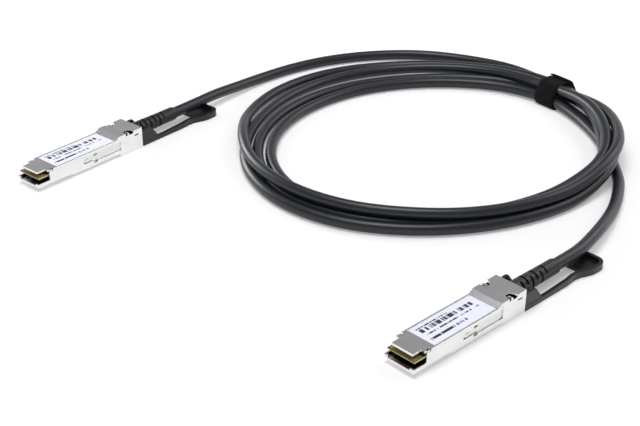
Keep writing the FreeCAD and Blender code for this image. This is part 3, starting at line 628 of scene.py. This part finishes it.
class CABLE_OT_cable(bpy.types.Operator):
    """Lay the cable from one module, round the coil and to the other"""
    bl_idname = "cable.lay_cable"
    bl_label = "Cable"

    def execute(self, context):
        settings = context.scene.cable_settings
        route = np.vstack([near_points(), coil_points(), far_points()[::-1]])
        curve = bpy.data.curves.new("twinax_cable", "CURVE")
        curve.dimensions = "3D"
        curve.bevel_depth = settings.diameter / 2
        curve.bevel_resolution = 6
        curve.resolution_u = 8
        curve.use_fill_caps = True
        spline = curve.splines.new("NURBS")
        spline.points.add(len(route) - 1)
        spline.points.foreach_set("co", np.column_stack([route, np.ones(len(route))]).ravel())
        spline.order_u = 3
        spline.use_endpoint_u = True
        curve.materials.append(extruded_jacket("cable_jacket", settings.jacket))
        piece = bpy.data.objects.new("twinax_cable", curve)
        context.scene.collection.objects.link(piece)
        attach(piece, ROOT_BODY)
        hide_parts("cable_near_tail", "cable_far_tail", "cable_coil")
        exit_at = near_points()[0]
        return {"FINISHED"}


class CABLE_OT_springs(bpy.types.Operator):
    """Put in the latch springs"""
    bl_idname = "cable.wind_springs"
    bl_label = "Springs"

    def execute(self, context):
        steel = plain_metal("spring_steel_wire", "b4b4b6", 0.25)
        near_nose = np.array(module_frame("near")[0])
        for hand in ("left", "right"):
            # Both modules are alike, and the near one lies along X, so its springs' boxes serve for both
            low, high = (np.array(corner) - near_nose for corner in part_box("near_spring_" + hand))
            rear_end = (high[0], *((low + high) / 2)[1:])
            rings = spring_rings(low, high)
            faces = closed_tube(*rings.shape[:2])
            for side in SIDES:
                points = from_nose(side, rings.reshape(-1, 3))
                spring = mesh_piece(side + "_return_spring_" + hand, points, faces, steel)
                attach(spring, ROOT_BODY)
                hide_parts(side + "_spring_" + hand)
                rear = from_nose(side, [rear_end])[0]
                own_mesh(spring)
        return {"FINISHED"}


class CABLE_OT_modules(bpy.types.Operator):
    """Give each piece of both modules its finish"""
    bl_idname = "cable.finish_modules"
    bl_label = "Modules"

    def execute(self, context):
        strip = stamped_steel()
        jacket = context.scene.cable_settings.jacket
        finishes = {"latch_left": strip, "latch_right": strip, "paddle_card": circuit_laminate(),
                    "cable_root": extruded_jacket("cable_jacket_root", jacket)}
        for piece, name, code, roughness in METALS:
            finishes[piece] = plain_metal(name, code, roughness)
        for piece, name, code, *surface in SKINS:
            finishes[piece] = grained_skin(name, linear(code), *surface)
        for side in SIDES:
            # These finishes are laid out from their own module's nose, so each module has its own
            nickel = nickel_plating(side)
            own = {"base_shell": nickel, "cover_shell": nickel, "strain_relief": slotted_boot(side),
                   "label": printed_film(side)}
            for piece, finish in {**finishes, **own}.items():
                node = frame["nodes"][side + "_" + piece]
                for slot in node.material_slots:
                    slot.material = finish
        return {"FINISHED"}


class CABLE_OT_stage(bpy.types.Operator):
    """Put up the paper, the lamps and the camera"""
    bl_idname = "cable.set_stage"
    bl_label = "Stage"

    def execute(self, context):
        settings = context.scene.stage_settings
        scene = context.scene
        scene.world = white_room(settings)
        corners = np.array([(-1, -1, 0), (1, -1, 0), (1, 1, 0), (-1, 1, 0)]) * FLOOR_REACH
        floor = mesh_piece("paper", corners, np.array([(0, 1, 2, 3)]), matte_floor(settings.floor), False)

        for name, at, width, power in LAMPS:
            light = bpy.data.lights.new(name, "AREA")
            light.size = width
            light.energy = power
            lamp = bpy.data.objects.new(name, light)
            lamp.location = at
            lamp.rotation_euler = (-Vector(at)).to_track_quat("-Z", "Y").to_euler()
            lamp.visible_camera = False
            scene.collection.objects.link(lamp)

        lens = bpy.data.cameras.new("camera")
        lens.sensor_width = SENSOR
        lens.lens = FOCAL_PIXELS / PHOTO_WIDTH * SENSOR
        lens.clip_start = CLIP_START
        camera = bpy.data.objects.new("camera", lens)
        # Towards the camera: turned about Z from minus Y, then raised from the floor
        level = math.cos(CAMERA_RISE)
        back = Vector((math.sin(CAMERA_TURN) * level, -math.cos(CAMERA_TURN) * level, math.sin(CAMERA_RISE)))
        camera.location = Vector(CAMERA_AIM) + back * CAMERA_FAR
        camera.rotation_euler = back.to_track_quat("Z", "Y").to_euler()
        scene.collection.objects.link(camera)
        scene.camera = camera
        scene.view_settings.view_transform = "Standard"
        return {"FINISHED"}


class CABLE_PT_panel(bpy.types.Panel):
    """Lists what this file builds"""
    bl_label = "Cable"
    bl_space_type = "VIEW_3D"
    bl_region_type = "UI"
    bl_category = "Cable"

    def draw(self, context):
        for operator in OPERATORS:
            self.layout.operator(operator.bl_idname)


OPERATORS = (CABLE_OT_strap, CABLE_OT_cable, CABLE_OT_springs, CABLE_OT_modules, CABLE_OT_stage)
CLASSES = (StageSettings, CableSettings) + OPERATORS + (CABLE_PT_panel,)


def register():
    for made in CLASSES:
        bpy.utils.register_class(made)
    bpy.types.Scene.cable_settings = PointerProperty(type=CableSettings)
    bpy.types.Scene.stage_settings = PointerProperty(type=StageSettings)


def unregister():
    del bpy.types.Scene.stage_settings
    del bpy.types.Scene.cable_settings
    for made in reversed(CLASSES):
        bpy.utils.unregister_class(made)


def main():
    register()
    # The strap comes before the cable
    bpy.ops.cable.wrap_strap()
    bpy.ops.cable.lay_cable()
    bpy.ops.cable.wind_springs()
    bpy.ops.cable.finish_modules()
    bpy.ops.cable.set_stage()


if __name__ == "__main__":
    main()
